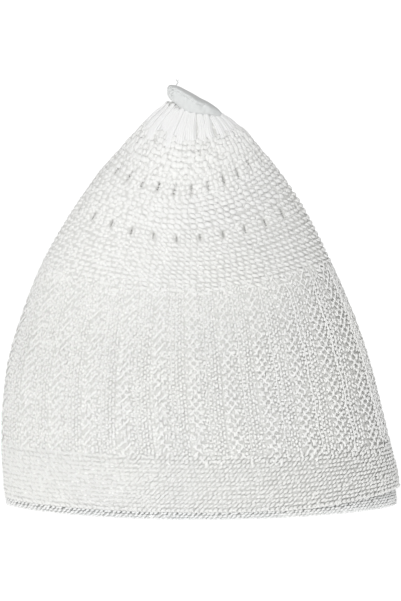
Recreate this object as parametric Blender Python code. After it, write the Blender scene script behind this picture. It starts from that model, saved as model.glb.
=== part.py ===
"""A white knitted prayer cap that stands on its rim, as a part in metres with +Z up.

The front faces -Y. The origin is on the surface it rests on, midway across the rim.
Run it with: blender --background --python part.py
"""

from collections import namedtuple
from math import cos, pi, sin

import bmesh
import bpy
from mathutils import Matrix, Vector

MM = 0.001

# Driving dimensions in millimetres
WALL = 2.5
GAP = 0.3
FACING_WALL = 2.0
RIBS_AROUND = 24
POINTS_PER_RIB = 4
EDGE_HEIGHT = 4.4
CORNER_LIFT = 5.0
LIFT_STARTS = 0.45
ROUNDNESS = 0.65
CUTTER_LENGTH = 10.0

# Each section is a closed round of the knitting. Its sides are folds at a left and a right point, its middle hangs
# lower than they are by the dip, and its relief is how far the gathers or ribs stand out.
Section = namedtuple("Section", "name left_x left_z right_x right_z dip half_depth relief")

BODY_SECTIONS = (
    Section("ground", -96.0, 0.0, 98.0, 0.0, 0.0, 41.5, 0.0),
    Section("hem_low", -97.0, 12.5, 98.0, 12.5, 0.0, 42.0, 0.0),
    Section("hem_top", -97.8, 32.0, 93.4, 32.0, 0.0, 42.0, 0.2),
    Section("rib_low", -97.3, 47.6, 89.5, 47.6, 1.0, 41.5, 0.6),
    Section("rib_mid", -94.6, 70.9, 83.5, 70.9, 2.2, 40.5, 0.7),
    Section("rib_high", -87.7, 94.7, 75.5, 94.7, 4.0, 38.5, 0.5),
    Section("rib_top", -76.9, 121.4, 63.9, 121.4, 7.4, 36.0, 0.0),
    Section("plain_low", -69.3, 135.3, 57.3, 135.3, 10.2, 34.0, 0.0),
    Section("eyelets_low", -60.3, 149.7, 49.0, 150.7, 13.0, 32.0, 0.0),
    Section("plain_high", -53.7, 159.1, 40.4, 163.6, 13.8, 29.0, 0.0),
    Section("eyelets_high", -47.2, 167.9, 33.4, 172.5, 13.6, 25.5, 0.0),
    Section("bumps", -38.6, 177.5, 27.0, 180.3, 12.6, 22.0, 0.2),
    Section("ring_line", -30.9, 186.4, 22.0, 186.8, 9.5, 17.5, 0.6),
    Section("fan_middle", -26.0, 191.3, 18.2, 189.8, 6.2, 13.5, 1.0),
    Section("fan_top", -20.6, 196.5, 14.6, 192.7, 3.5, 9.5, 0.9),
    Section("neck", -15.6, 200.8, 11.0, 195.3, 1.2, 6.0, 0.4),
)
INNER_SECTIONS = ("fan_middle", "bumps", "eyelets_high", "eyelets_low", "rib_top", "rib_mid", "hem_top", "hem_low")

# The drawn-in end is folded over to the left: a smooth pleat with a rolled cord along its top.
KNOT_SECTIONS = (
    Section("base", -15.6, 201.2, 11.0, 195.7, 1.2, 6.0, 0.0),
    Section("pleat", -16.0, 204.0, 8.6, 198.5, 0.8, 5.0, 0.0),
    Section("pinch", -15.2, 205.6, 5.2, 200.3, 0.4, 3.0, 0.0),
    Section("roll", -15.4, 206.9, 2.6, 201.8, 0.3, 3.2, 0.0),
    Section("ridge", -13.6, 208.0, -2.6, 204.6, 0.0, 1.4, 0.0),
)
KNOT_POINTS = 32

# The turned-up hem's inner layer, as its profile: how far it lies inside the cap's outer face, and how high.
ProfilePoint = namedtuple("ProfilePoint", "inset height")

FACING_PROFILE = (
    ProfilePoint(1.9, 0.0),
    ProfilePoint(1.4, 1.4),
    ProfilePoint(1.6, 2.9),
    ProfilePoint(WALL + GAP, 3.9),
    ProfilePoint(WALL + GAP, 12.5),
    ProfilePoint(WALL + GAP, 24.0),
    ProfilePoint(WALL + GAP + FACING_WALL, 24.0),
    ProfilePoint(WALL + GAP + FACING_WALL, 12.5),
    ProfilePoint(WALL + GAP + FACING_WALL, 0.0),
)

# Each round of eyelets has one for each rib, some points along the round from the ribs' crests.
EyeletRound = namedtuple("EyeletRound", "section first_point width height")

EYELET_ROUNDS = (
    EyeletRound("eyelets_high", 1, 2.4, 4.0),
    EyeletRound("eyelets_low", 2, 2.8, 5.0),
)
EYELET_SIDES = 6


def section_point(section, angle):
    """The point of a section at an angle counted from its right fold, seen from above."""
    across = cos(angle)
    fullness = abs(sin(angle))
    side = 1 if sin(angle) >= 0 else -1
    middle_x = (section.left_x + section.right_x) / 2
    middle_z = (section.left_z + section.right_z) / 2
    x = middle_x + across * (section.right_x - section.left_x) / 2
    y = side * section.half_depth * (ROUNDNESS * fullness + (1 - ROUNDNESS) * fullness**2)
    z = middle_z + across * (section.right_z - section.left_z) / 2 - section.dip * fullness**2
    return Vector((x, y, z))


def even_ring(section, count, samples=1440):
    """Points at equal steps of length round a section, so that the stitches stay one width."""
    fine = [section_point(section, 2 * pi * i / samples) for i in range(samples + 1)]
    travelled = [0.0]
    for before, after in zip(fine, fine[1:]):
        travelled.append(travelled[-1] + (after - before).length)
    ring = []
    i = 0
    for k in range(count):
        wanted = travelled[-1] * k / count
        while travelled[i + 1] < wanted:
            i += 1
        share = (wanted - travelled[i]) / (travelled[i + 1] - travelled[i])
        ring.append(fine[i].lerp(fine[i + 1], share))
    return ring


def ring_normals(ring, below, above):
    """The directions that point out of the surface through three neighbouring rings, at the points of one."""
    count = len(ring)
    normals = []
    for i in range(count):
        along = ring[(i + 1) % count] - ring[i - 1]
        normals.append(along.cross(above[i] - below[i]).normalized())
    return normals


def moved(ring, directions, distances):
    return [point + direction * distance for point, direction, distance in zip(ring, directions, distances)]


def loft_object(name, rings, collection, ends_meet=False):
    """A closed body through rings of equally many points. Its ends are capped, or meet each other."""
    mesh_builder = bmesh.new()
    loops = [[mesh_builder.verts.new(point * MM) for point in ring] for ring in rings]
    pairs = list(zip(loops, loops[1:]))
    if ends_meet:
        pairs.append((loops[-1], loops[0]))
    for lower, upper in pairs:
        for i in range(len(lower)):
            j = (i + 1) % len(lower)
            mesh_builder.faces.new((lower[i], lower[j], upper[j], upper[i]))
    if not ends_meet:
        for loop, ring, step in ((loops[0], rings[0], -1), (loops[-1], rings[-1], 1)):
            centre = sum(ring, Vector()) / len(ring)
            tip = mesh_builder.verts.new(centre * MM)
            for i in range(len(loop)):
                edge = (loop[i], loop[(i + 1) % len(loop)])
                mesh_builder.faces.new((*edge[::step], tip))
    bmesh.ops.triangulate(mesh_builder, faces=mesh_builder.faces[:])
    mesh = bpy.data.meshes.new(name)
    mesh_builder.to_mesh(mesh)
    mesh_builder.free()
    mesh.shade_smooth()
    mesh.set_sharp_from_angle(angle=pi / 4)
    made = bpy.data.objects.new(name, mesh)
    collection.objects.link(made)
    return made


def yarn_material(name, colour, roughness):
    material = bpy.data.materials.new(name)
    material.use_nodes = True
    shader = material.node_tree.nodes["Principled BSDF"]
    shader.inputs["Base Color"].default_value = (*colour, 1.0)
    shader.inputs["Roughness"].default_value = roughness
    shader.inputs["Metallic"].default_value = 0.0
    material.diffuse_color = (*colour, 1.0)
    return material


def edge_height(point):
    """How high the outer layer's lower edge is: it lifts towards the right fold and bares the hem's inner layer."""
    ground = BODY_SECTIONS[0]
    half_width = (ground.right_x - ground.left_x) / 2
    across = (point.x - (ground.left_x + ground.right_x) / 2) / half_width
    share = max(0.0, (across - LIFT_STARTS) / (1 - LIFT_STARTS))
    return EDGE_HEIGHT + CORNER_LIFT * share**1.5


def body_rings():
    """The rings of the sections by name, before relief, and the directions out of them."""
    count = RIBS_AROUND * POINTS_PER_RIB
    rings = [even_ring(section, count) for section in BODY_SECTIONS]
    normals = []
    for k, ring in enumerate(rings):
        below = rings[max(k - 1, 0)]
        above = rings[min(k + 1, len(rings) - 1)]
        normals.append(ring_normals(ring, below, above))
    names = [section.name for section in BODY_SECTIONS]
    return dict(zip(names, rings)), dict(zip(names, normals))


def make_body(collection, rings, normals):
    """The knitted wall: inner face from the crown down, round the hem's edge, and up the outer face."""
    ground = rings["ground"]
    hem_low = rings["hem_low"]
    hem_height = BODY_SECTIONS[1].left_z
    edge = [low.lerp(high, edge_height(low) / hem_height) for low, high in zip(ground, hem_low)]
    count = len(edge)
    inner = [moved(rings[name], normals[name], [-WALL] * count) for name in INNER_SECTIONS]
    inner_edge = moved(edge, ring_normals(edge, edge, hem_low), [-WALL] * count)
    for inside, outside in zip(inner_edge, edge):
        inside.z = outside.z
    outer = []
    for section in BODY_SECTIONS[1:]:
        relief = [section.relief * cos(2 * pi * i / POINTS_PER_RIB) for i in range(count)]
        outer.append(moved(rings[section.name], normals[section.name], relief))
    return loft_object("cap_body", [*inner, inner_edge, edge, *outer], collection)


def make_facing(collection, rings):
    """The hem's inner layer, which follows the outer layer and rests on its flat lower edge."""
    levels = [rings["ground"], rings["hem_low"], rings["hem_top"]]
    heights = [section.left_z for section in BODY_SECTIONS[:3]]
    facing = []
    for inset, height in FACING_PROFILE:
        k = 0 if height < heights[1] else 1
        share = (height - heights[k]) / (heights[k + 1] - heights[k])
        level = [low.lerp(high, share) for low, high in zip(levels[k], levels[k + 1])]
        sideways = [Vector((n.x, n.y, 0)).normalized() for n in ring_normals(level, levels[k], levels[k + 1])]
        facing.append(moved(level, sideways, [-inset] * len(level)))
    return loft_object("hem_facing", facing, collection, ends_meet=True)


def make_knot(collection):
    """The crown's drawn-in end."""
    return loft_object("crown_knot", [even_ring(section, KNOT_POINTS) for section in KNOT_SECTIONS], collection)


def make_eyelet_cutters(collection, rings, normals):
    """One short bar for each eyelet, straight through the wall and taller than wide."""
    names = list(rings)
    mesh_builder = bmesh.new()
    for eyelets in EYELET_ROUNDS:
        ring = rings[eyelets.section]
        above = rings[names[names.index(eyelets.section) + 1]]
        for k in range(RIBS_AROUND):
            i = k * POINTS_PER_RIB + eyelets.first_point
            out = normals[eyelets.section][i]
            up = above[i] - ring[i]
            up = (up - out * up.dot(out)).normalized()
            along = up.cross(out)
            turn = Matrix((along, up, out)).transposed().to_4x4()
            size = Matrix.Diagonal((eyelets.width, eyelets.height, CUTTER_LENGTH, 1.0))
            place = Matrix.Translation((ring[i] - out * WALL / 2) * MM) @ Matrix.Scale(MM, 4) @ turn @ size
            bmesh.ops.create_cone(
                mesh_builder,
                cap_ends=True,
                segments=EYELET_SIDES,
                radius1=0.5,
                radius2=0.5,
                depth=1.0,
                matrix=place,
            )
    mesh = bpy.data.meshes.new("eyelet_cutters")
    mesh_builder.to_mesh(mesh)
    mesh_builder.free()
    cutters = bpy.data.objects.new("eyelet_cutters", mesh)
    cutters.hide_render = True
    cutters.display_type = "WIRE"
    collection.objects.link(cutters)
    return cutters


def main():
    for old in list(bpy.data.objects):
        bpy.data.objects.remove(old, do_unlink=True)
    parts = bpy.data.collections.new("prayer_cap")
    helpers = bpy.data.collections.new("cutters")
    bpy.context.scene.collection.children.link(parts)
    bpy.context.scene.collection.children.link(helpers)

    rings, normals = body_rings()
    body = make_body(parts, rings, normals)
    facing = make_facing(parts, rings)
    knot = make_knot(parts)
    cut = body.modifiers.new("eyelets", "BOOLEAN")
    cut.operation = "DIFFERENCE"
    cut.solver = "EXACT"
    cut.object = make_eyelet_cutters(helpers, rings, normals)

    body.data.materials.append(yarn_material("white_knit", (0.86, 0.87, 0.86), 0.5))
    facing.data.materials.append(yarn_material("white_knit_facing", (0.80, 0.81, 0.80), 0.6))
    knot.data.materials.append(yarn_material("white_yarn_end", (0.78, 0.80, 0.78), 0.45))


main()
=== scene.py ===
"""The looks of a white knitted prayer cap: its yarn, stitch by stitch, over a thin knitted wall.

The cap stands on its rim and its front faces -Y. Lengths are in millimetres until a mesh is made.
"""

from collections import namedtuple
from math import cos, pi, radians, sin

import bpy
import numpy as np
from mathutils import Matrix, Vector


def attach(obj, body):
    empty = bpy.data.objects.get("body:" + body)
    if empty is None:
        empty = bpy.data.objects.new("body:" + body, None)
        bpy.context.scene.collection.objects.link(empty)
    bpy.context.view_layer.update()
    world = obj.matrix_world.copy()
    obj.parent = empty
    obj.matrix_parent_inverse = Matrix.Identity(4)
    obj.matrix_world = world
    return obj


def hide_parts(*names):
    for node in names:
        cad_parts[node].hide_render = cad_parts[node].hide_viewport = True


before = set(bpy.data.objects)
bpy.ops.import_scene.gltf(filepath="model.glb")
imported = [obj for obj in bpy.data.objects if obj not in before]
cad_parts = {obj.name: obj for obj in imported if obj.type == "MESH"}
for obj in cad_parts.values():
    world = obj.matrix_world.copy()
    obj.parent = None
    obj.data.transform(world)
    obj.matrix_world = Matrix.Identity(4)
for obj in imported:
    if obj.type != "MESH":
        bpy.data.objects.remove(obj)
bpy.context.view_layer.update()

MM = 0.001
RNG = np.random.default_rng(24)

# The cap's form, as closed rounds of the knitting from the crown down. Reach is how far down each lies.
Section = namedtuple("Section", "reach left_x left_z right_x right_z dip half_depth")

SECTIONS = (
    Section(7.8, -15.6, 200.8, 11.0, 195.3, 1.2, 6.0),
    Section(14.2, -20.6, 196.5, 14.6, 192.7, 3.5, 9.5),
    Section(21.6, -26.0, 191.3, 18.2, 189.8, 6.2, 13.5),
    Section(29.4, -30.9, 186.4, 22.0, 186.8, 9.5, 17.5),
    Section(40.7, -38.6, 177.5, 27.0, 180.3, 12.6, 22.0),
    Section(50.0, -47.2, 167.9, 33.4, 172.5, 13.6, 25.5),
    Section(60.3, -53.7, 159.1, 40.4, 163.6, 13.8, 29.0),
    Section(71.0, -60.3, 149.7, 49.0, 150.7, 13.0, 32.0),
    Section(82.8, -69.3, 135.3, 57.3, 135.3, 10.2, 34.0),
    Section(94.1, -76.9, 121.4, 63.9, 121.4, 7.4, 36.0),
    Section(117.6, -87.7, 94.7, 75.5, 94.7, 4.0, 38.5),
    Section(139.6, -94.6, 70.9, 83.5, 70.9, 2.2, 40.5),
    Section(161.7, -97.3, 47.6, 89.5, 47.6, 1.0, 41.5),
    Section(176.4, -97.8, 32.0, 93.4, 32.0, 0.0, 42.0),
    Section(195.9, -97.0, 12.5, 98.0, 12.5, 0.0, 42.0),
    Section(208.4, -96.0, 0.0, 98.0, 0.0, 0.0, 41.5),
)
ROUNDNESS = 0.65
WALL = 2.5
RIBS_AROUND = 24

# Where the kinds of knitting begin and end, as reaches
NECK = 8.2
FAN_END = 29.0
BUMPS_END = 40.5
BARS_END = 51.5
UPPER_PLAIN_END = 67.0
SLITS_END = 74.5
PLAIN_END = 94.5
RIBS_END = 176.4
GROUND = 208.4

# The outer layer's lower edge, above the ground, lifts towards the right fold
EDGE_HEIGHT = 4.4
CORNER_LIFT = 5.0
LIFT_STARTS = 0.45

GRID_ROUNDS = 420
GRID_AROUND = 1440

Surface = namedtuple("Surface", "first_reach step points normals around")


def hermite(values, slopes, k, t, length=1.0):
    """A smooth curve's values at the parts t of the lengths that start at the knots k."""
    return (
        (2 * t**3 - 3 * t**2 + 1) * values[k]
        + (t**3 - 2 * t**2 + t) * length * slopes[k]
        + (3 * t**2 - 2 * t**3) * values[k + 1]
        + (t**3 - t**2) * length * slopes[k + 1]
    )


def section_columns(reach):
    """The sizes of the rounds at these reaches, as a smooth curve through the sections."""
    table = np.array(SECTIONS)
    knots = table[:, 0]
    values = table[:, 1:]
    slopes = np.gradient(values, knots, axis=0)
    k = np.clip(np.searchsorted(knots, reach, side="right") - 1, 0, len(knots) - 2)
    length = knots[k + 1] - knots[k]
    t = ((reach - knots[k]) / length)[:, None]
    return hermite(values, slopes, k, t, length[:, None])


def round_points(columns, angle):
    """Points of rounds at angles counted from the right fold, seen from above."""
    left_x, left_z, right_x, right_z, dip, half_depth = (columns[:, i : i + 1] for i in range(6))
    across = np.cos(angle)
    fullness = np.abs(np.sin(angle))
    x = (left_x + right_x) / 2 + across * (right_x - left_x) / 2
    y = np.sign(np.sin(angle)) * half_depth * (ROUNDNESS * fullness + (1 - ROUNDNESS) * fullness**2)
    z = (left_z + right_z) / 2 + across * (right_z - left_z) / 2 - dip * fullness**2
    return np.stack([x, y, z], axis=-1)


def make_surface():
    """The cap's outer face as a fine grid: rounds down from the crown, at even steps around each."""
    reach = np.linspace(SECTIONS[0].reach, GROUND, GRID_ROUNDS)
    columns = section_columns(reach)
    angle = np.linspace(0, 2 * pi, GRID_AROUND + 1)[None, :].repeat(GRID_ROUNDS, axis=0)
    fine = round_points(columns, angle)
    travelled = np.zeros((GRID_ROUNDS, GRID_AROUND + 1))
    travelled[:, 1:] = np.cumsum(np.linalg.norm(np.diff(fine, axis=1), axis=2), axis=1)
    share = np.arange(GRID_AROUND) / GRID_AROUND
    even = np.stack([np.interp(share * row[-1], row, angle[0]) for row in travelled])
    points = round_points(columns, even)
    along = np.roll(points, -1, axis=1) - np.roll(points, 1, axis=1)
    up = -np.gradient(points, axis=0)
    normals = np.cross(along, up)
    normals /= np.linalg.norm(normals, axis=2, keepdims=True)
    return Surface(reach[0], reach[1] - reach[0], points, normals, travelled[:, -1])


SURFACE = make_surface()


def on_surface(reach, share):
    """The surface's points and outward directions at these reaches and shares of the way round."""
    row = np.clip((reach - SURFACE.first_reach) / SURFACE.step, 0, GRID_ROUNDS - 1.001)
    column = (share % 1.0) * GRID_AROUND
    i = row.astype(int)
    j = column.astype(int) % GRID_AROUND
    j_next = (j + 1) % GRID_AROUND
    down = (row - i)[..., None]
    side = (column - np.floor(column))[..., None]
    found = []
    for grid in (SURFACE.points, SURFACE.normals):
        upper = grid[i, j] * (1 - side) + grid[i, j_next] * side
        lower = grid[i + 1, j] * (1 - side) + grid[i + 1, j_next] * side
        found.append(upper * (1 - down) + lower * down)
    return found


def level_outward(normals):
    """These outward directions, turned level."""
    level = normals * np.array([1.0, 1.0, 0.0])
    return level / np.linalg.norm(level, axis=-1, keepdims=True)


def around_at(reach):
    """The length round the cap at these reaches."""
    rows = SURFACE.first_reach + SURFACE.step * np.arange(GRID_ROUNDS)
    return np.interp(reach, rows, SURFACE.around)


def edge_reach(share):
    """The reach of the outer layer's lower edge, at shares of the way round."""
    ground = SECTIONS[-1]
    point, _ = on_surface(np.full_like(share, GROUND), share)
    half_width = (ground.right_x - ground.left_x) / 2
    across = (point[..., 0] - (ground.left_x + ground.right_x) / 2) / half_width
    lift = np.maximum(0.0, (across - LIFT_STARTS) / (1 - LIFT_STARTS))
    return GROUND - EDGE_HEIGHT - CORNER_LIFT * lift**1.5


# Meshes


def add_mesh_object(name, vertices, quads, material, uv=None):
    """An object of four-sided faces. Vertices are in millimetres."""
    mesh = bpy.data.meshes.new(name)
    vertices = np.ascontiguousarray(vertices.reshape(-1, 3) * MM, dtype=np.float32)
    quads = np.ascontiguousarray(quads.reshape(-1, 4), dtype=np.int32)
    mesh.vertices.add(len(vertices))
    mesh.vertices.foreach_set("co", vertices.ravel())
    mesh.loops.add(quads.size)
    mesh.loops.foreach_set("vertex_index", quads.ravel())
    mesh.polygons.add(len(quads))
    mesh.polygons.foreach_set("loop_start", np.arange(0, quads.size, 4, dtype=np.int32))
    if uv is not None:
        layer = mesh.uv_layers.new(name="yarn")
        layer.data.foreach_set("uv", np.ascontiguousarray(uv, dtype=np.float32).ravel())
    mesh.update(calc_edges=True)
    mesh.validate()
    mesh.shade_smooth()
    mesh.materials.append(material)
    made = bpy.data.objects.new(name, mesh)
    bpy.context.scene.collection.objects.link(made)
    return made


def grid_quads(rows, columns, closed=False):
    """The faces between rows of points that run round. A closed grid's last row joins its first."""
    i, j = np.meshgrid(np.arange(rows if closed else rows - 1), np.arange(columns), indexing="ij")
    i_next = (i + 1) % rows
    j_next = (j + 1) % columns
    corners = [i * columns + j, i_next * columns + j, i_next * columns + j_next, i * columns + j_next]
    return np.stack(corners, axis=-1).reshape(-1, 4)


Yarns = namedtuple("Yarns", "centres outward widths heights")

# The faces that close an end of a tube, by its number of sides
END_FACES = {4: ((0, 1, 2, 3),), 6: ((0, 1, 2, 3), (0, 3, 4, 5))}
YARN_SIDES = 6
THREAD_SIDES = 4

# The yarn's twist starts anywhere within this length, so that no two stitches match
TWIST_STARTS = 40


def tube_arrays(yarns, sides):
    """The vertices, faces and yarn coordinates of closed tubes along paths of equally many points."""
    centres, outward, widths, heights = yarns
    count, steps, _ = centres.shape
    tangent = np.gradient(centres, axis=1)
    tangent /= np.linalg.norm(tangent, axis=2, keepdims=True) + 1e-9
    side = np.cross(tangent, outward)
    side /= np.linalg.norm(side, axis=2, keepdims=True) + 1e-9
    up = np.cross(side, tangent)
    turn = 2 * pi * np.arange(sides) / sides
    vertices = (
        centres[:, :, None]
        + side[:, :, None] * (np.cos(turn)[:, None] * widths[:, :, None, None] / 2)
        + up[:, :, None] * (np.sin(turn)[:, None] * heights[:, :, None, None] / 2)
    )
    wall = grid_quads(steps, sides)
    first_end = np.array(END_FACES[sides])
    last_end = first_end[:, ::-1] + (steps - 1) * sides
    one = np.concatenate([wall, first_end, last_end])
    quads = one[None] + (np.arange(count) * steps * sides)[:, None, None]
    length = np.zeros((count, steps))
    length[:, 1:] = np.cumsum(np.linalg.norm(np.diff(centres, axis=1), axis=2), axis=1)
    wall_turns = wall[:, :1] % sides + np.array([0, 0, 1, 1])
    turns = np.concatenate([wall_turns, first_end % sides, last_end % sides]) / sides
    start = RNG.uniform(0, TWIST_STARTS, count)[:, None, None]
    along = length[:, one // sides] + start
    uv = np.stack([along, np.broadcast_to(turns, along.shape)], axis=-1)
    return vertices, quads, uv


def yarn_object(name, groups, material, sides=YARN_SIDES):
    """One piece from groups of yarns."""
    all_vertices, all_quads, all_uv = [], [], []
    made = 0
    for group in groups:
        vertices, quads, uv = tube_arrays(group, sides)
        all_vertices.append(vertices.reshape(-1, 3))
        all_quads.append(quads.reshape(-1, 4) + made)
        all_uv.append(uv.reshape(-1, 2))
        made += len(all_vertices[-1])
    vertices, quads, uv = (np.concatenate(parts) for parts in (all_vertices, all_quads, all_uv))
    return add_mesh_object(name, vertices, quads, material, uv)


def slimming(steps, taper, power):
    """How thick a yarn is at each step, as a part of its thickness in the middle."""
    return 1 - (1 - taper) * np.abs(np.linspace(-1, 1, steps)) ** power


def laid_yarns(reach, share, lift, width, height=None, taper=0.25, power=6):
    """Yarns that follow the surface through these reaches, shares and lifts, thinner at both ends."""
    points, normals = on_surface(reach, share)
    centres = points + normals * (lift - dented(reach, share) - at_folds(reach, share))[..., None]
    slim = slimming(reach.shape[1], taper, power)
    widths = np.broadcast_to(width, reach.shape) * slim
    heights = np.broadcast_to(width if height is None else height, reach.shape) * slim
    return Yarns(centres, normals, widths, heights)


def wobble(count, size):
    """A small seeded offset for each of these stitches, as one column."""
    return RNG.normal(0, size, (count, 1))


def row_and_stitch(rows, stitches):
    """The row and the place in it of every stitch, as two columns."""
    row, stitch = np.meshgrid(rows, np.arange(stitches), indexing="ij")
    return row.reshape(-1, 1), stitch.reshape(-1, 1)


# The kinds of knitting

# Eyelets are slits that the stitches are drawn away from. Phases count quarters of a rib, spread is how
# far to each side the yarn is drawn, cut is the part of the height that is open right through, and
# stitches nearer the middle line than left_out are left out. Threads lie across a slit at these distances
# down from its middle.
SlitRound = namedtuple(
    "SlitRound", "reach phase half_width half_height spread cut left_out threads thread_width"
)

SLIT_ROUNDS = (
    SlitRound(46.9, 1, 0.42, 3.4, 1.7, 0.62, 0.0, (-2.0, -1.2, -0.4, 0.4, 1.2, 2.0), 0.70),
    SlitRound(71.2, 2, 0.70, 2.7, 2.6, 0.60, 1.2, (-1.5, -0.75, 0.0, 0.75, 1.5), 0.57),
)
SLIT_PHASES = 4

# The slits are this much wider towards their lower end, and narrower towards the upper one
SLIT_FLARE = 0.45

# Half the length of the threads across the slits, and how deep they lie
THREAD_REACH = 1.8
THREAD_DEPTH = 0.40

# How far the yarn sinks beside the slits, over what distance, and how fast that fades up and down
DENT_DEPTH = 1.25
DENT_WIDTH = 1.35
DENT_FADING = 0.95

# The crown's knit is flattened at the side folds. That ends at this reach, and fades over this length.
FOLDS_FLAT_TO = 43.0
FOLDS_FADING = 14.0
RIGHT_FOLD_DEPTH = 1.0
LEFT_FOLD_DEPTH = 0.5
FOLD_SHARPNESS = 10


def openness(share):
    """How open the stitches are, from 0 at the left, where they are pressed smooth, to 1 at the right."""
    return 0.5 + 0.5 * np.cos(2 * pi * share)


def slit_offsets(reach, share, slits):
    """How far points lie from the nearest slit's middle line, its half width, and the part of its height."""
    around = around_at(reach)
    turn = share * RIBS_AROUND - slits.phase / SLIT_PHASES
    across = (turn - np.round(turn)) / RIBS_AROUND * around
    down = (reach - slits.reach) / slits.half_height
    opening = slits.half_width * np.clip(1 - down**2, 0, 1) ** 0.5 * (1 + SLIT_FLARE * np.clip(down, -1, 1))
    return across, opening, down


def drawn_aside(reach, share):
    """Shares moved away from the slits, so that the yarn bends round them."""
    for slits in SLIT_ROUNDS:
        across, opening, _ = slit_offsets(reach, share, slits)
        pull = np.clip(1 - np.abs(across) / slits.spread, 0, 1)
        side = np.where(across >= 0, 1.0, -1.0)
        share = share + side * opening * pull / around_at(reach)
    return share


def at_folds(reach, share):
    """How far the crown's knit is flattened at the two side folds."""
    fading = np.clip((FOLDS_FLAT_TO - reach) / FOLDS_FADING, 0, 1)
    right = RIGHT_FOLD_DEPTH * openness(share) ** FOLD_SHARPNESS
    left = LEFT_FOLD_DEPTH * (1 - openness(share)) ** FOLD_SHARPNESS
    return (right + left) * fading


def dented(reach, share):
    """How far the yarn sinks beside the slits."""
    sunk = 0.0
    for slits in SLIT_ROUNDS:
        across, _, down = slit_offsets(reach, share, slits)
        sunk = sunk + DENT_DEPTH * np.exp(-((across / DENT_WIDTH) ** 2) - (DENT_FADING * down) ** 2)
    return sunk


# A band of rounds where each stitch shows as one plump, slanting grain: its reaches, rounds and stitches
# around, the stitches' slant and half length, their thickness and flatness, how many ribs the first
# stitch is turned by, how uneven the stitches are, and the points along each
Band = namedtuple("Band", "start end rounds around lean long wide plump phase uneven steps")

HEM_AROUND = 192
BUMPS = Band(FAN_END - 5.9, BUMPS_END, 6, 66, 0.18, 0.60, 1.22, 0.27, 0.0, 3.0, 6)
BARS = Band(BUMPS_END, BARS_END, 5, 72, 0.20, 0.46, 1.20, 0.26, 0.417, 1.6, 6)
UPPER_PLAIN = Band(BARS_END - 0.4, UPPER_PLAIN_END, 6, 72, 0.28, 0.50, 0.98, 0.30, 0.25, 1.4, 6)
LOWER_PLAIN = Band(UPPER_PLAIN_END, PLAIN_END + 6.4, 16, 96, 0.32, 0.49, 0.88, 0.52, 0.5, 1.0, 5)
HEM = Band(RIBS_END - 0.5, GROUND, 13, HEM_AROUND, -0.42, 0.54, 0.64, 0.43, 0.0, 1.5, 5)

# Nearer the left fold than this share, the stitches slant the other way. They change over the second share.
LEAN_TURNS = 0.14
LEAN_CHANGE = 0.05

# The plain knit's last stitches end within this length, which starts this far above the ribs
PLAIN_RAGGED = 7.0
PLAIN_RAGGED_RISE = 2.5


def grain_rounds(band, edge=None):
    """The yarns of a band. An edge moves its reaches and shares."""
    uneven = band.uneven
    t = np.linspace(-1, 1, band.steps)
    row, stitch = row_and_stitch(np.arange(band.rounds), band.around)
    count = len(row)
    height = (band.end - band.start) / band.rounds
    grown = 1 + wobble(count, 0.07 * uneven)
    from_left_fold = np.abs(stitch / band.around + band.phase / RIBS_AROUND - 0.5)
    slant = band.lean * np.clip((from_left_fold - LEAN_TURNS) / LEAN_CHANGE, -0.7, 1.0)
    slant = slant * (1 + wobble(count, 0.2 * uneven))
    sway = 0.10 * np.sin(1.1 * stitch + 2.1 * row) + wobble(count, 0.05 * uneven)
    share = (stitch + band.long * t * grown + sway) / band.around + band.phase / RIBS_AROUND
    rounds_down = row + 0.5 + slant * t - 0.08 * (1 - t**2) + wobble(count, 0.05 * uneven)
    reach = band.start + rounds_down * height
    if edge is not None:
        reach, share = edge(reach, share)
    open_here = openness(share)
    lift = -0.20 + (0.06 + 0.14 * open_here) * (1 - 2.2 * t**2) + wobble(count, 0.04 * uneven)
    width = band.wide * height * (1.10 - 0.14 * open_here) * (1 + wobble(count, 0.06 * uneven))
    middle = reach.mean(axis=1)
    last_reach = PLAIN_END - PLAIN_RAGGED_RISE + RNG.uniform(0, PLAIN_RAGGED, count)
    kept = (middle > RIBS_END - 2.0) | (middle < last_reach)
    for slits in SLIT_ROUNDS:
        across, _, down = slit_offsets(middle, share.mean(axis=1), slits)
        kept &= (np.abs(across) > slits.left_out) | (np.abs(down) > 0.75)
    share = drawn_aside(reach, share)
    group = laid_yarns(reach, share, lift, width, width * band.plump, taper=0.30, power=2.5)
    return Yarns(*(part[kept] for part in group))


def slit_threads():
    """Threads that cross the slits at a depth, so that little of the dark inside shows."""
    t = np.linspace(-1, 1, 6)
    rib = np.arange(RIBS_AROUND).reshape(-1, 1)
    groups = []
    for slits in SLIT_ROUNDS:
        for shift in slits.threads:
            slant = RNG.uniform(-0.2, 0.2, (RIBS_AROUND, 1))
            reach = slits.reach + shift + wobble(RIBS_AROUND, 0.08) + slant * t
            share = (rib + slits.phase / SLIT_PHASES) / RIBS_AROUND + THREAD_REACH * t / around_at(reach)
            depth = -THREAD_DEPTH + wobble(RIBS_AROUND, 0.1) + 0 * reach
            groups.append(laid_yarns(reach, share, depth, slits.thread_width))
    return groups


# Strands side by side in each satin gather, and the points along each
FAN_STRANDS = 5
FAN_STEPS = 18


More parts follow.
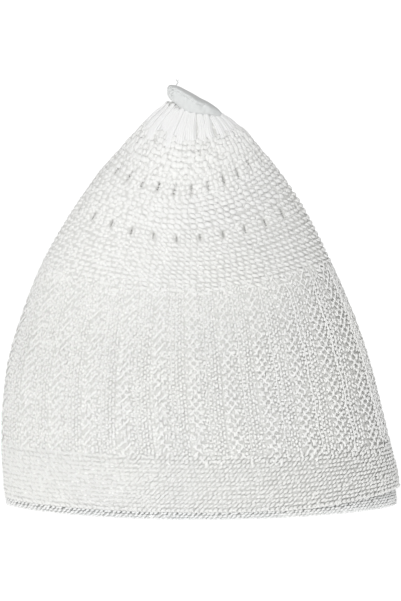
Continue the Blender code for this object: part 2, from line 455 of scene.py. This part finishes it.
def fan_yarns():
    """The satin gathers that fan out from the drawn-in end like round-tipped fingers."""
    t = np.linspace(0, 1, FAN_STEPS)
    rib, strand = row_and_stitch(np.arange(RIBS_AROUND), FAN_STRANDS)
    side = (strand - (FAN_STRANDS - 1) / 2) / FAN_STRANDS
    rib_wide = RNG.normal(0, 0.08, RIBS_AROUND)[rib]
    rib_high = RNG.normal(0, 0.18, RIBS_AROUND)[rib]
    rib_end = RNG.uniform(-5.0, 1.8, RIBS_AROUND)[rib] - 4.5 * side**2
    rib_sway = RNG.normal(0, 0.12, RIBS_AROUND)[rib]
    rib_top = RNG.uniform(-0.6, 1.8, RIBS_AROUND)[rib]
    reach = NECK - 0.6 + (rib_top + 5.0 * side**2) * (1 - t) ** 3
    reach = reach + (FAN_END - NECK + 1.8) * t + rib_end * t**2
    sway = rib_wide + rib_sway * np.sin(pi * t) ** 2 + 0.05 * np.sin(6 * t + 1.9 * rib)
    twist = 0.05 * np.sin(5 * t + 1.3 * rib) * np.sign(side + 0.01)
    spread = (1.04 - 0.05 * np.exp(-(((t - 0.66) / 0.14) ** 2))) * (1 - 0.25 * np.exp(-t / 0.05))
    share = (rib + sway + spread * side + twist * 0.5) / RIBS_AROUND
    crest = np.cos(pi * side)
    swell = np.sin(pi * np.clip(t * 0.94 + 0.05, 0, 1)) ** 0.7 + 0.9 * np.exp(-(((t - 0.04) / 0.06) ** 2))
    raised = -0.75 + crest * (0.15 + (0.66 + rib_high) * swell)
    raised = raised - 0.9 * np.clip((t - 0.9) / 0.1, 0, 1) ** 2 + wobble(len(rib), 0.05)
    width = around_at(reach) / RIBS_AROUND / FAN_STRANDS * 1.5 + 0.2
    return laid_yarns(reach, share, raised, width, np.minimum(width * 0.8, 1.1), taper=0.4)


# The threads that run right round the cap
RING_REACHES = (FAN_END + 2.4, BUMPS_END)
RING_THICKNESS = 0.8
RING_DEPTH = 0.30
RING_STEPS = 360


def ring_cord(reach):
    """A thread that runs right round the cap."""
    share = np.linspace(0, 1, RING_STEPS)[None, :]
    reach = reach + 0.35 * np.sin(2 * pi * 24 * share + 1.0) + 0.2 * np.sin(2 * pi * 7 * share)
    raised = -RING_DEPTH + 0.12 * np.cos(2 * pi * 48 * share)
    return laid_yarns(reach, share, raised, RING_THICKNESS, taper=1.0)


RIB_ROWS = 20
RIB_ROW_HEIGHT = (RIBS_END - PLAIN_END) / RIB_ROWS

# Grains have the thickness given for them at this reach, and less where the cap is narrower
FULL_SIZE_REACH = 139.6

# Grains of a rib: where across it, where down the repeat, lean across and length down in millimetres,
# thickness and lift. Positions are shares of the rib and of the repeat.
RibGrain = namedtuple("RibGrain", "across down lean length thickness lift")

# Pairs of strands that cross
RIB_LACE = (
    RibGrain(0.060, 0.30, 1.9, 3.0, 1.35, 0.20),
    RibGrain(0.060, 0.30, -1.9, 3.0, 1.25, 0.08),
    RibGrain(0.168, 0.80, 1.9, 3.0, 1.35, 0.20),
    RibGrain(0.168, 0.80, -1.9, 3.0, 1.25, 0.08),
    RibGrain(0.276, 0.30, 1.9, 3.0, 1.35, 0.20),
    RibGrain(0.276, 0.30, -1.9, 3.0, 1.25, 0.08),
)
RIB_PETALS = (
    RibGrain(0.365, 0.12, 0.6, 1.6, 1.60, -0.02),
    RibGrain(0.400, 0.66, 0.5, 1.3, 1.60, -0.02),
    RibGrain(0.465, 0.24, 0.7, 2.2, 1.60, 0.10),
    RibGrain(0.475, 0.78, 0.3, 1.0, 1.50, -0.04),
    RibGrain(0.975, 0.45, -0.4, 1.5, 1.50, -0.06),
    RibGrain(0.575, 0.12, -0.4, 1.3, 1.65, 0.00),
    RibGrain(0.595, 0.62, 0.5, 1.5, 1.65, 0.03),
)
RIB_STREAKS = (
    RibGrain(0.680, 0.25, 0.6, 1.8, 1.50, 0.02),
    RibGrain(0.690, 0.80, -0.5, 1.3, 1.40, -0.06),
    RibGrain(0.775, 0.02, 0.7, 2.0, 1.50, 0.04),
    RibGrain(0.780, 0.54, -0.5, 1.3, 1.40, -0.06),
    RibGrain(0.865, 0.28, -0.6, 1.9, 1.50, 0.02),
    RibGrain(0.875, 0.84, 0.5, 1.3, 1.40, -0.05),
)

# Where a rib's two cords lie across it, their thickness, and how high they stand at the right
RIB_CORDS = ((0.515, 0.90, 0.36), (0.650, 0.80, -0.06))

# Grains that lean back more than this cross others. Only this part of them is there at the left, and more
# of them the more open the knit is.
CROSSING_LEAN = -1
CROSSINGS_AT_LEFT = 0.25
MORE_CROSSINGS = 2.4

# A rib's first and last grains: how far outside the ribs' ends they can be, and over what length that
# varies
FIRST_GRAIN = 3.5
FIRST_GRAIN_VARIES = 5.5
LAST_GRAIN = 5.0
LAST_GRAIN_VARIES = 7.5


def rib_grain(grain):
    """One grain in each repeat of every rib. Some are left out where the ribs begin and end."""
    t = np.linspace(-1, 1, 4)
    row, rib = row_and_stitch(np.arange(-2, RIB_ROWS + 1), RIBS_AROUND)
    count = len(row)
    drift = 0.10 * np.sin(0.9 * rib + 0.5 * row)
    grown = 1 + wobble(count, 0.12)
    reach = PLAIN_END + (row + 0.5 + grain.down + drift) * RIB_ROW_HEIGHT
    reach = reach - grain.length / 2 * t * grown + wobble(count, 0.18)
    sidestep = grain.lean / 2 * t * (1 + wobble(count, 0.3)) + wobble(count, 0.15)
    sidestep = sidestep + 0.25 * np.sin(0.35 * row + 2.0 * rib)
    share = (rib + grain.across) / RIBS_AROUND + sidestep / around_at(reach)
    open_here = openness(share) ** 2
    raised = -0.15 + grain.lift * (0.3 + 1.3 * open_here) - (0.12 + 0.22 * open_here) * np.abs(t) ** 2
    raised = raised + wobble(count, 0.06)
    middle = reach.mean(axis=1)
    begins = PLAIN_END - FIRST_GRAIN + RNG.uniform(0, FIRST_GRAIN_VARIES, count)
    ends = RIBS_END + LAST_GRAIN - RNG.uniform(0, LAST_GRAIN_VARIES, count)
    kept = (middle > begins) & (middle < ends)
    narrowing = around_at(reach) / around_at(np.array(FULL_SIZE_REACH))
    thick = grain.thickness * narrowing * (1 + wobble(count, 0.08))
    thick = thick * (1.10 - 0.08 * open_here - 0.16 * open_here**6)
    if grain.lean < CROSSING_LEAN:
        kept &= RNG.uniform(0, 1, count) < CROSSINGS_AT_LEFT + MORE_CROSSINGS * open_here[:, 0]
    group = laid_yarns(reach, share, raised, thick, thick * (0.50 + 0.18 * open_here), taper=0.45, power=3)
    return Yarns(*(part[kept] for part in group))


def rib_posts():
    """A thin raised cord down each rib, and a fainter one beside it."""
    t = np.linspace(0, 1, 3 * RIB_ROWS + 1)
    rib = np.arange(RIBS_AROUND).reshape(-1, 1)
    reach = PLAIN_END - 1.0 + (RIBS_END - PLAIN_END + 1.0) * t + 0 * rib
    groups = []
    for across, thickness, lift in RIB_CORDS:
        turned = rib + across + 0.016 * np.sin(23 * t + 2.0 * rib)
        share = (turned + 0.012 * np.sin(61 * t + rib)) / RIBS_AROUND
        raised = -0.62 + (lift + 0.27) * openness(share) ** 4 + 0.14 * np.cos(2 * pi * RIB_ROWS * t + rib)
        groups.append(laid_yarns(reach, share, raised, thickness, taper=0.5))
    return groups


def to_hem_edge(reach, share):
    """Stretches the hem's rounds to end along the outer layer's edge."""
    part = (reach - RIBS_END) / (GROUND - RIBS_END)
    return RIBS_END + part * (edge_reach(share) - RIBS_END), share


# The edge's stitches bend down and then under. Each number belongs to one of the points along a stitch.
EDGE_BEND = (0.0, 0.45, 0.8, 1.0, 0.95, 0.7, 0.4)
EDGE_DEPTH = (0.1, 0.15, -0.15, -0.7, -1.4, -1.9, -2.1)
EDGE_THICKNESS = 1.2


def edge_stitches():
    """The last round, which wraps under the outer layer's edge and stands out where the edge lifts."""
    t = np.linspace(0, 1, len(EDGE_BEND))
    stitch = np.arange(HEM_AROUND).reshape(-1, 1)
    share = (stitch + 0.5 * t) / HEM_AROUND
    reach = edge_reach(share) - 1.3 + 1.2 * np.array(EDGE_BEND) + wobble(HEM_AROUND, 0.05)
    sunk = 0.45 * (1 - openness(share) ** 2)
    return laid_yarns(reach, share, np.array(EDGE_DEPTH) - sunk, EDGE_THICKNESS)


# The wall under the yarn

# How far the wall lies under the yarn's surface, as reaches down the cap and depths there
WALL_RECESS = (
    (FAN_END - 7.0, 0.60),
    (FAN_END - 5.0, 0.06),
    (BARS_END, 0.00),
    (UPPER_PLAIN_END, 0.00),
    (PLAIN_END, 0.10),
    (PLAIN_END + 28.0, 0.44),
    (RIBS_END, 0.44),
    (RIBS_END + 2.0, 0.22),
)

# How much more it is where the knit is open, below the crown's rows, and close to the right fold, in the
# ribs and the hem. Each grows to its full depth over a length.
OPEN_RECESS = 0.47
OPEN_RAMP = 25
FOLD_RECESS = 0.9
FOLD_RAMP = 10
FOLD_NARROWNESS = 26
DENTED_PART = 0.8

# The wall thins towards the drawn-in end, over this length and to this part, and is never thinner than a
# sheet
THINNING = 20.0
THINNEST_PART = 0.15
THINNEST = 0.4

# The openings in the wall are this much wider than the slits, on each side
HOLE_MARGIN = 0.1

# Where the wall's columns stand in each rib. They are close together at the two rounds of eyelets.
WALL_COLUMNS = (0.0, 0.11, 0.20, 0.23, 0.27, 0.30, 0.38, 0.46, 0.488, 0.512, 0.54, 0.62, 0.74, 0.87)

# Bands of the wall's rows: where each begins and ends, and its number of rows. The hem's rows follow them.
WALL_BANDS = ((NECK - 0.4, BUMPS_END, 13), (BUMPS_END, SLITS_END, 34), (SLITS_END, RIBS_END, 14))
HEM_ROWS = 5

# The rounds that close the wall over the crown: their part of the first row's size, and how far they rise
LID_ROUNDS = ((0.05, 1.4), (0.6, 1.1))
LID_THICKNESS = 0.5


def closed_wall(name, outer, inner, holes, material):
    """A closed sheet between two faces of equal grids that run round, open where holes says so."""
    rows, columns, _ = outer.shape
    index = np.arange(rows * columns).reshape(rows, columns)
    under = index + rows * columns
    i, j = np.meshgrid(np.arange(rows - 1), np.arange(columns), indexing="ij")
    j_next = (j + 1) % columns
    solid = ~holes
    i, j, j_next = i[solid], j[solid], j_next[solid]
    faces = [np.stack([index[i, j], index[i + 1, j], index[i + 1, j_next], index[i, j_next]], axis=-1)]
    faces.append(np.stack([under[i, j], under[i, j_next], under[i + 1, j_next], under[i + 1, j]], axis=-1))
    nothing = np.zeros((1, columns), dtype=bool)
    above = np.vstack([nothing, solid])
    below = np.vstack([solid, nothing])
    for is_top, row_a, row_b in ((True, above, below), (False, below, above)):
        r, c = np.nonzero(row_b & ~row_a)
        c_next = (c + 1) % columns
        rim = [index[r, c], index[r, c_next], under[r, c_next], under[r, c]]
        if not is_top:
            rim = rim[::-1]
        faces.append(np.stack(rim, axis=-1))
    r, c = np.nonzero(solid & ~np.roll(solid, 1, axis=1))
    faces.append(np.stack([index[r, c], under[r, c], under[r + 1, c], index[r + 1, c]], axis=-1))
    r, c = np.nonzero(solid & ~np.roll(solid, -1, axis=1))
    c = (c + 1) % columns
    faces.append(np.stack([index[r, c], index[r + 1, c], under[r + 1, c], under[r, c]], axis=-1))
    vertices = np.concatenate([outer.reshape(-1, 3), inner.reshape(-1, 3)])
    used, renumbered = np.unique(np.concatenate(faces), return_inverse=True)
    return add_mesh_object(name, vertices[used], renumbered.reshape(-1, 4), material)


def knit_wall(material):
    """The cap's wall under the yarn, closed over the crown, with the eyelets open right through."""
    bands = [np.linspace(start, end, count) for start, end, count in WALL_BANDS]
    reach = np.concatenate([bands[0]] + [band[1:] for band in bands[1:]])
    share = (np.arange(RIBS_AROUND)[:, None] + np.array(WALL_COLUMNS)[None, :]).ravel() / RIBS_AROUND
    reach, share = np.meshgrid(reach, share, indexing="ij")
    down = np.linspace(0, 1, HEM_ROWS + 1)[1:, None]
    hem_share = share[:HEM_ROWS]
    reach = np.vstack([reach, RIBS_END + down * (edge_reach(hem_share) - RIBS_END)])
    share = np.vstack([share, hem_share])
    points, normals = on_surface(reach, share)
    recess = np.interp(reach, *zip(*WALL_RECESS))
    open_ramp = np.clip((reach - BUMPS_END) / OPEN_RAMP, 0, 1)
    fold_ramp = np.clip((reach - PLAIN_END) / FOLD_RAMP, 0, 1)
    recess = recess + OPEN_RECESS * openness(share) ** 1.5 * open_ramp
    recess = recess + FOLD_RECESS * openness(share) ** FOLD_NARROWNESS * fold_ramp
    recess = recess + DENTED_PART * dented(reach, share) + at_folds(reach, share)
    outer = points - normals * recess[..., None]
    thickness = WALL * np.clip((reach - NECK) / THINNING, THINNEST_PART, 1.0)
    inner = points - normals * np.maximum(thickness, recess + THINNEST)[..., None]
    centre = outer[0].mean(axis=0)
    lid = [centre + (outer[0] - centre) * shrink + np.array([0, 0, rise]) for shrink, rise in LID_ROUNDS]
    outer = np.concatenate([np.stack(lid), outer])
    inner = np.concatenate([np.stack(lid) - np.array([0, 0, LID_THICKNESS]), inner])
    next_share = np.roll(share, -1, axis=1)
    next_share[:, -1] += 1
    middle_reach = (reach[1:] + reach[:-1]) / 2
    middle_share = (share + next_share)[:-1] / 2
    holes = np.zeros(middle_reach.shape, dtype=bool)
    for slits in SLIT_ROUNDS:
        across, opening, part = slit_offsets(middle_reach, middle_share, slits)
        holes |= (np.abs(part) < slits.cut) & (np.abs(across) < opening + HOLE_MARGIN)
    holes = np.vstack([np.zeros((len(lid), holes.shape[1]), dtype=bool), holes])
    return closed_wall("knit_wall", outer, inner, holes, material)


# The section of the hem's inner layer with its rolled lower edge: inset from the surface, and height
HEM_PROFILE = (
    (2.2, 0.15),
    (1.75, 0.7),
    (1.6, 1.5),
    (1.65, 2.4),
    (2.1, 3.3),
    (2.8, 3.9),
    (2.8, 8.0),
    (2.8, 14.0),
    (2.8, 24.0),
    (3.1, 24.3),
    (4.5, 24.3),
    (4.8, 24.0),
    (4.8, 12.0),
    (4.8, 1.0),
    (4.5, 0.15),
    (3.4, 0.0),
)
HEM_COLUMNS = 360


def hem_inner_layer(material):
    """The turned-up hem's inner layer with its rolled lower edge."""
    share = np.arange(HEM_COLUMNS) / HEM_COLUMNS
    rings = []
    for inset, height in HEM_PROFILE:
        points, normals = on_surface(np.full(HEM_COLUMNS, GROUND - height), share)
        points = points - level_outward(normals) * inset
        points[:, 2] = height
        rings.append(points)
    quads = grid_quads(len(HEM_PROFILE), HEM_COLUMNS, closed=True)[:, [0, 3, 2, 1]]
    return add_mesh_object("hem_inner_layer", np.stack(rings), quads, material)


# Heights of the rounds on the rolled edge. Those above the roll are there only beside the right fold.
ROLL_ROUNDS = (0.85, 2.15, 3.45, 4.75, 6.05, 7.35, 8.65)
ROLL_TOP = 4
ROLL_THICKNESS = 1.25
ROLL_TAPER = 0.45


def hem_roll_yarns():
    """Slanting stitches on the rolled edge, and more rounds above it where the outer layer lifts."""
    groups = []
    t = np.linspace(-1, 1, 6)
    for middle in ROLL_ROUNDS:
        stitch = np.arange(HEM_AROUND).reshape(-1, 1)
        if middle > ROLL_TOP:
            stitch = stitch[np.cos(2 * pi * stitch[:, 0] / HEM_AROUND) > LIFT_STARTS]
        count = len(stitch)
        height = middle + 0.42 * t + 0.3 + wobble(count, 0.10)
        share = (stitch + 0.4 * middle + 0.42 * t) / HEM_AROUND + wobble(count, 0.0006)
        inset = 0.60 + 0.85 * openness(share) + 0.14 * max(0.0, middle - 3.5)
        inset = inset + 0.30 * np.abs(t) ** 2 + wobble(count, 0.05)
        points, normals = on_surface(GROUND - height, share)
        outward = level_outward(normals)
        centres = points - outward * inset[..., None]
        centres[..., 2] = height
        widths = np.broadcast_to(ROLL_THICKNESS, height.shape) * slimming(len(t), ROLL_TAPER, 6)
        groups.append(Yarns(centres, outward, widths, widths * 0.8))
    return groups


# The drawn-in end

# The crown's end is folded to the left over the gathers, as a smooth pleat, with slices from left to right.
PleatSlice = namedtuple("PleatSlice", "x low high front back")

PLEAT_SLICES = (
    PleatSlice(-15.6, 202.4, 207.3, -2.2, 1.2),
    PleatSlice(-14.7, 201.2, 208.0, -3.6, 1.8),
    PleatSlice(-12.6, 199.6, 208.0, -5.0, 2.2),
    PleatSlice(-9.8, 196.9, 207.2, -6.6, 2.6),
    PleatSlice(-6.9, 194.8, 205.7, -7.8, 3.0),
    PleatSlice(-3.0, 193.9, 203.6, -8.2, 3.2),
    PleatSlice(0.5, 193.8, 201.5, -8.0, 3.4),
    PleatSlice(3.9, 193.6, 199.8, -7.4, 3.2),
    PleatSlice(6.8, 193.1, 197.9, -6.0, 2.8),
    PleatSlice(9.0, 192.6, 196.2, -4.2, 2.2),
    PleatSlice(10.4, 192.6, 194.6, -2.4, 1.4),
)
PLEAT_STEPS = 110
PLEAT_COLUMNS = 112

# Rings that round off the pleat's ends: their size as a part of the last slice, and how far out they lie
PLEAT_ENDS = ((0.82, 0.22), (0.55, 0.38), (0.25, 0.46), (0.02, 0.48))

# The ridge, the bead of the closing stitch, the pit under it and the crease across the top, as x and z
RIDGE_LINE = ((-13.2, 207.0), (-10.6, 206.6), (-7.6, 205.0), (-4.6, 203.2), (-1.2, 200.9), (1.6, 199.9))
BEAD = (-13.7, 204.9)
PIT = (-13.5, 203.1)
CREASE = (-11.6, 204.5)

# The loose end and the three fibres that it frays into
LOOSE_END = ((-12.2, -1.0, 207.2), (-11.2, -0.6, 208.6), (-10.7, -0.2, 209.4), (-11.1, 0.1, 210.3))
FRAY_START = (-10.7, -0.2, 209.2)
FRAY_TIPS = ((-12.2, -0.4, 210.9), (-11.5, 0.3, 211.3), (-10.4, 0.2, 210.9))


def smooth_line(points, samples):
    """A smooth curve through points, as evenly numbered samples."""
    points = np.array(points, dtype=float)
    slopes = np.gradient(points, axis=0)
    at = np.linspace(0, len(points) - 1, samples)
    k = np.clip(at.astype(int), 0, len(points) - 2)
    return hermite(points, slopes, k, (at - k)[:, None])


def pleat_surface(slices, columns):
    """The pleat's rounded slices, with the grooves beside its ridge, soft creases and a pit."""
    x, low, high, front, back = (slices[:, i : i + 1] for i in range(5))
    turn = (2 * pi * np.arange(columns) / columns)[None, :]
    up = np.sin(turn)
    forward = -np.cos(turn)
    half = (high - low) / 2
    z = (high + low) / 2 + half * np.sign(up) * np.abs(up) ** 0.55
    depth = np.where(forward < 0, -front, back)
    y = depth * np.sign(forward) * np.abs(forward) ** 0.6
    x = x + 0 * y
    on_front = np.clip(-forward * 2.5, 0, 1)
    ridge = smooth_line(RIDGE_LINE, 60)
    away = np.stack([x[..., None] - ridge[:, 0], z[..., None] - ridge[:, 1]])
    nearest = np.argmin((away**2).sum(axis=0), axis=-1)
    gap_x, gap_z = (np.take_along_axis(part, nearest[..., None], axis=-1)[..., 0] for part in away)
    off = np.hypot(gap_x, gap_z) * np.sign(gap_z + 0.4 * gap_x)
    push = 0.55 * np.exp(-((off / 0.55) ** 2)) - 0.50 * np.exp(-(((np.abs(off) - 1.05) / 0.32) ** 2))
    pit = np.hypot(x - PIT[0], z - PIT[1])
    push = push - 1.6 * np.exp(-((pit / 0.75) ** 2))
    push = push + 0.18 * np.sin(1.15 * x + 0.55 * z + 0.6) + 0.10 * np.sin(2.3 * x - 1.1 * z)
    push = push - 0.45 * np.exp(-(((x - CREASE[0]) / 0.3) ** 2)) * np.clip((z - CREASE[1]) / 2, 0, 1)
    y = y - push * on_front
    return np.stack([x, y, z], axis=-1)


def knot_pleat(material):
    """The smooth pleat, closed at both ends."""
    grid = pleat_surface(smooth_line(PLEAT_SLICES, PLEAT_STEPS), PLEAT_COLUMNS)
    ends = []
    for row, outward in ((grid[0], -1.0), (grid[-1], 1.0)):
        middle = row.mean(axis=0)
        rings = []
        for size, out in PLEAT_ENDS:
            rings.append(middle + (row - middle) * size + np.array([outward * out, 0, 0]))
        ends.append(rings)
    grid = np.stack(ends[0][::-1] + list(grid) + ends[1])
    return add_mesh_object("knot_pleat", grid, grid_quads(len(grid), PLEAT_COLUMNS), material)


def knot_thread(points, width, steps):
    """A thread at the drawn-in end, through these points."""
    line = smooth_line(points, steps)[None]
    outward = np.broadcast_to(np.array([0.0, -1.0, 0.15]), line.shape)
    widths = np.broadcast_to(width, line.shape[:2]) * slimming(steps, 0.6, 6)
    return Yarns(line, outward, widths, widths)


def knot_threads():
    """The bead of the closing stitch and the loose end of its thread."""
    x, z = BEAD
    bead = ((x - 1.3, -2.2, z - 0.4), (x - 0.2, -4.3, z + 0.1), (x + 1.5, -3.6, z + 0.7))
    groups = [knot_thread(bead, 1.7, 12), knot_thread(LOOSE_END, 0.55, 14)]
    for tip in FRAY_TIPS:
        groups.append(knot_thread((FRAY_START, ((tip[0] - 10.8) / 2, 0.0, 210.2), tip), 0.2, 8))
    return groups


# Materials

# Yarn: its sheen, how large the blotches and the fibres are, and how deep the ply and the fibres lie
SHEEN = 0.25
SHEEN_ROUGHNESS = 0.4
NYLON_IOR = 1.53
BLOTCH_SCALE = 28.0
FIBRE_SCALE = 2600.0
PLY_DEPTH = 0.0002
FIBRE_DEPTH = 0.0001
FUZZ = 0.12

# The knit under the yarn, with painted shade in the gaps between its cells: how small its cells are, and how
# deep
CELL_SCALE = 560.0
CELL_DEPTH = 0.0006

# The floor glows a little, like a lit white table
FLOOR_GREY = 0.50
FLOOR_GLOW = 0.78


def new_material(name, roughness):
    """A material, with its nodes, links and shader."""
    material = bpy.data.materials.new(name)
    material.use_nodes = True
    tree = material.node_tree
    shader = tree.nodes["Principled BSDF"]
    shader.inputs["Roughness"].default_value = roughness
    return material, tree.nodes, tree.links, shader


def two_tones(nodes, links, source, first, second, shader):
    """Colours the shader between two stops, each a position and a colour, by this source."""
    tint = nodes.new("ShaderNodeValToRGB")
    for stop, (position, colour) in zip(tint.color_ramp.elements, (first, second)):
        stop.position = position
        stop.color = (*colour, 1.0)
    links.new(source, tint.inputs["Fac"])
    links.new(tint.outputs["Color"], shader.inputs["Base Color"])


def add_bump(nodes, links, source, strength, depth):
    """A bump whose height comes from this source."""
    bump = nodes.new("ShaderNodeBump")
    bump.inputs["Strength"].default_value = strength
    bump.inputs["Distance"].default_value = depth
    links.new(source, bump.inputs["Height"])
    return bump


def yarn_material(name, colour, shade, roughness, ply=0.35):
    """White glossy yarn: two close whites in blotches, a twisted ply along each yarn, and fine fibre."""
    material, nodes, links, shader = new_material(name, roughness)
    shader.inputs["Sheen Weight"].default_value = SHEEN
    shader.inputs["Sheen Roughness"].default_value = SHEEN_ROUGHNESS
    shader.inputs["IOR"].default_value = NYLON_IOR

    place = nodes.new("ShaderNodeTexCoord")
    blotch = nodes.new("ShaderNodeTexNoise")
    blotch.inputs["Scale"].default_value = BLOTCH_SCALE
    blotch.inputs["Detail"].default_value = 2.0
    links.new(place.outputs["Object"], blotch.inputs["Vector"])
    two_tones(nodes, links, blotch.outputs["Fac"], (0.35, shade), (0.65, colour), shader)

    twist = nodes.new("ShaderNodeMapping")
    twist.inputs["Rotation"].default_value = (0.0, 0.0, radians(38))
    twist.inputs["Scale"].default_value = (1.0, 1.6, 1.0)
    wave = nodes.new("ShaderNodeTexWave")
    wave.inputs["Scale"].default_value = 0.9
    wave.inputs["Distortion"].default_value = 0.4
    links.new(place.outputs["UV"], twist.inputs["Vector"])
    links.new(twist.outputs["Vector"], wave.inputs["Vector"])
    ply_bump = add_bump(nodes, links, wave.outputs["Fac"], ply, PLY_DEPTH)

    fibre = nodes.new("ShaderNodeTexNoise")
    fibre.inputs["Scale"].default_value = FIBRE_SCALE
    fibre.inputs["Detail"].default_value = 2.0
    links.new(place.outputs["Object"], fibre.inputs["Vector"])
    fibre_bump = add_bump(nodes, links, fibre.outputs["Fac"], FUZZ, FIBRE_DEPTH)
    links.new(ply_bump.outputs["Normal"], fibre_bump.inputs["Normal"])
    links.new(fibre_bump.outputs["Normal"], shader.inputs["Normal"])
    return material


def backing_material(name, pale, dark):
    """The knit that shows between the nearer stitches: small pale cells, with painted shade in the gaps
    between them for the dark inside that shows through.
    """
    material, nodes, links, shader = new_material(name, 0.6)
    place = nodes.new("ShaderNodeTexCoord")
    cells = nodes.new("ShaderNodeTexVoronoi")
    cells.inputs["Scale"].default_value = CELL_SCALE
    links.new(place.outputs["Object"], cells.inputs["Vector"])
    two_tones(nodes, links, cells.outputs["Distance"], (0.20, pale), (0.62, dark), shader)
    dimple = add_bump(nodes, links, cells.outputs["Distance"], 0.6, CELL_DEPTH)
    dimple.invert = True
    links.new(dimple.outputs["Normal"], shader.inputs["Normal"])
    return material


def floor_material():
    """A pale, dull floor."""
    material, _, _, shader = new_material("pale_floor", 0.8)
    shader.inputs["Base Color"].default_value = (FLOOR_GREY, FLOOR_GREY, FLOOR_GREY, 1.0)
    shader.inputs["Emission Color"].default_value = (1.0, 1.0, 1.0, 1.0)
    shader.inputs["Emission Strength"].default_value = FLOOR_GLOW
    return material


# The stage, the light and the camera

FLOOR_HALF_SIZE = 6.0

CAMERA_ELEVATION = 8.7
CAMERA_DISTANCE = 2.2
CAMERA_CLIP_END = 50.0
MM_PER_PIXEL = 0.49
IMAGE_HEIGHT = 601
SENSOR = 36.0
AIM = Vector((0.25, 0.0, 102.0)) * MM

WORLD_STRENGTH = 0.29
# Name, azimuth, elevation, strength, softness
SUNS = (
    ("key", -16, 33, 1.40, 24),
    ("overhead", 0, 80, 0.42, 60),
)


def make_stage():
    """The floor."""
    mesh = bpy.data.meshes.new("floor")
    size = FLOOR_HALF_SIZE
    corners = [(-size, -size, 0), (size, -size, 0), (size, size, 0), (-size, size, 0)]
    mesh.from_pydata(corners, [], [(0, 1, 2, 3)])
    floor = bpy.data.objects.new("floor", mesh)
    floor.data.materials.append(floor_material())
    bpy.context.scene.collection.objects.link(floor)


def add_sun(name, azimuth, elevation, strength, softness):
    """A large soft lamp. Azimuth counts from the front, to the viewer's right; the angles are degrees."""
    light = bpy.data.lights.new(name, "SUN")
    light.energy = strength
    light.angle = radians(softness)
    made = bpy.data.objects.new(name, light)
    side, height = radians(azimuth), radians(elevation)
    source = Vector((sin(side) * cos(height), -cos(side) * cos(height), sin(height)))
    made.rotation_euler = source.to_track_quat("Z", "Y").to_euler()
    bpy.context.scene.collection.objects.link(made)


def make_light():
    """The white surroundings and the lamps."""
    world = bpy.data.worlds.new("studio")
    world.use_nodes = True
    background = world.node_tree.nodes["Background"]
    background.inputs["Color"].default_value = (1.0, 1.0, 1.0, 1.0)
    background.inputs["Strength"].default_value = WORLD_STRENGTH
    bpy.context.scene.world = world
    for sun in SUNS:
        add_sun(*sun)


def make_camera():
    """The camera that sees the cap as the photo does."""
    camera = bpy.data.cameras.new("camera")
    camera.type = "PERSP"
    camera.sensor_fit = "VERTICAL"
    camera.sensor_height = SENSOR
    frame_height = IMAGE_HEIGHT * MM_PER_PIXEL * MM
    camera.lens = SENSOR * CAMERA_DISTANCE / frame_height
    camera.clip_end = CAMERA_CLIP_END
    made = bpy.data.objects.new("camera", camera)
    tilt = radians(CAMERA_ELEVATION)
    made.location = AIM + Vector((0, -cos(tilt), sin(tilt))) * CAMERA_DISTANCE
    made.rotation_euler = (pi / 2 - tilt, 0, 0)
    bpy.context.scene.collection.objects.link(made)
    bpy.context.scene.camera = made


def dress(piece, node):
    """Puts a piece in the place of a node of the solids."""
    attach(piece, "root")
    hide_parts(node)


def body_pieces():
    """The knitted wall and all the yarn on it."""
    knit = yarn_material("white_knit", (0.915, 0.915, 0.895), (0.89, 0.89, 0.88), 0.25)
    # A darker copy of the white knit for the hem and its edge: painted shade on the cap's lower part
    shaded_fine_knit = yarn_material("white_fine_knit_painted_shade", (0.853, 0.853, 0.833), (0.823, 0.823, 0.813), 0.30)
    satin = yarn_material("white_satin", (0.91, 0.91, 0.90), (0.88, 0.88, 0.885), 0.32, ply=0.2)
    # The backing's darker colour is painted shade in the gaps between its cells
    backing = backing_material("white_backing", (0.94, 0.94, 0.925), (0.71, 0.71, 0.69))
    bumps, bars, upper, lower = (grain_rounds(band) for band in (BUMPS, BARS, UPPER_PLAIN, LOWER_PLAIN))
    hem = grain_rounds(HEM, to_hem_edge)
    threads = slit_threads()
    return [
        knit_wall(backing),
        yarn_object("crown_gathers", [fan_yarns()], satin),
        yarn_object("crown_bumps", [bumps], knit),
        yarn_object("crown_rings", [ring_cord(reach) for reach in RING_REACHES], knit),
        yarn_object("eyelet_bars", [bars], knit),
        yarn_object("upper_plain_knit", [upper], knit),
        yarn_object("lower_plain_knit", [lower], knit),
        yarn_object("slit_threads", threads, backing, sides=THREAD_SIDES),
        yarn_object("rib_lace_knit", [rib_grain(grain) for grain in RIB_LACE], knit),
        yarn_object("rib_petal_knit", [rib_grain(grain) for grain in RIB_PETALS], knit),
        yarn_object("rib_streak_knit", [rib_grain(grain) for grain in RIB_STREAKS], knit),
        yarn_object("rib_posts", rib_posts(), knit),
        yarn_object("hem_knit", [hem], shaded_fine_knit),
        yarn_object("hem_edge_stitches", [edge_stitches()], shaded_fine_knit),
    ]


def hem_pieces():
    """The hem's inner layer and the stitches on its rolled edge."""
    # The inner layer's darker colour is painted shade in the gaps between its cells
    inside = backing_material("white_inside", (0.90, 0.90, 0.89), (0.80, 0.81, 0.80))
    facing = yarn_material("white_facing", (0.88, 0.88, 0.87), (0.85, 0.86, 0.86), 0.38)
    return [hem_inner_layer(inside), yarn_object("hem_roll_stitches", hem_roll_yarns(), facing)]


def knot_pieces():
    """The drawn-in end and its threads."""
    # The pleat and the knot's threads are a darker, grey copy of the white yarn: painted shade for the fold
    # that faces away from the light
    pleat = yarn_material("white_pleat_painted_shade", (0.73, 0.745, 0.74), (0.67, 0.685, 0.68), 0.40, ply=0.1)
    return [knot_pleat(pleat), yarn_object("knot_threads", knot_threads(), pleat)]


def main():
    make_stage()
    make_light()
    make_camera()
    bpy.context.scene.view_settings.view_transform = "Standard"

    for piece in body_pieces():
        dress(piece, "cap_body")
    for piece in hem_pieces():
        dress(piece, "hem_facing")
    for piece in knot_pieces():
        dress(piece, "crown_knot")


main()
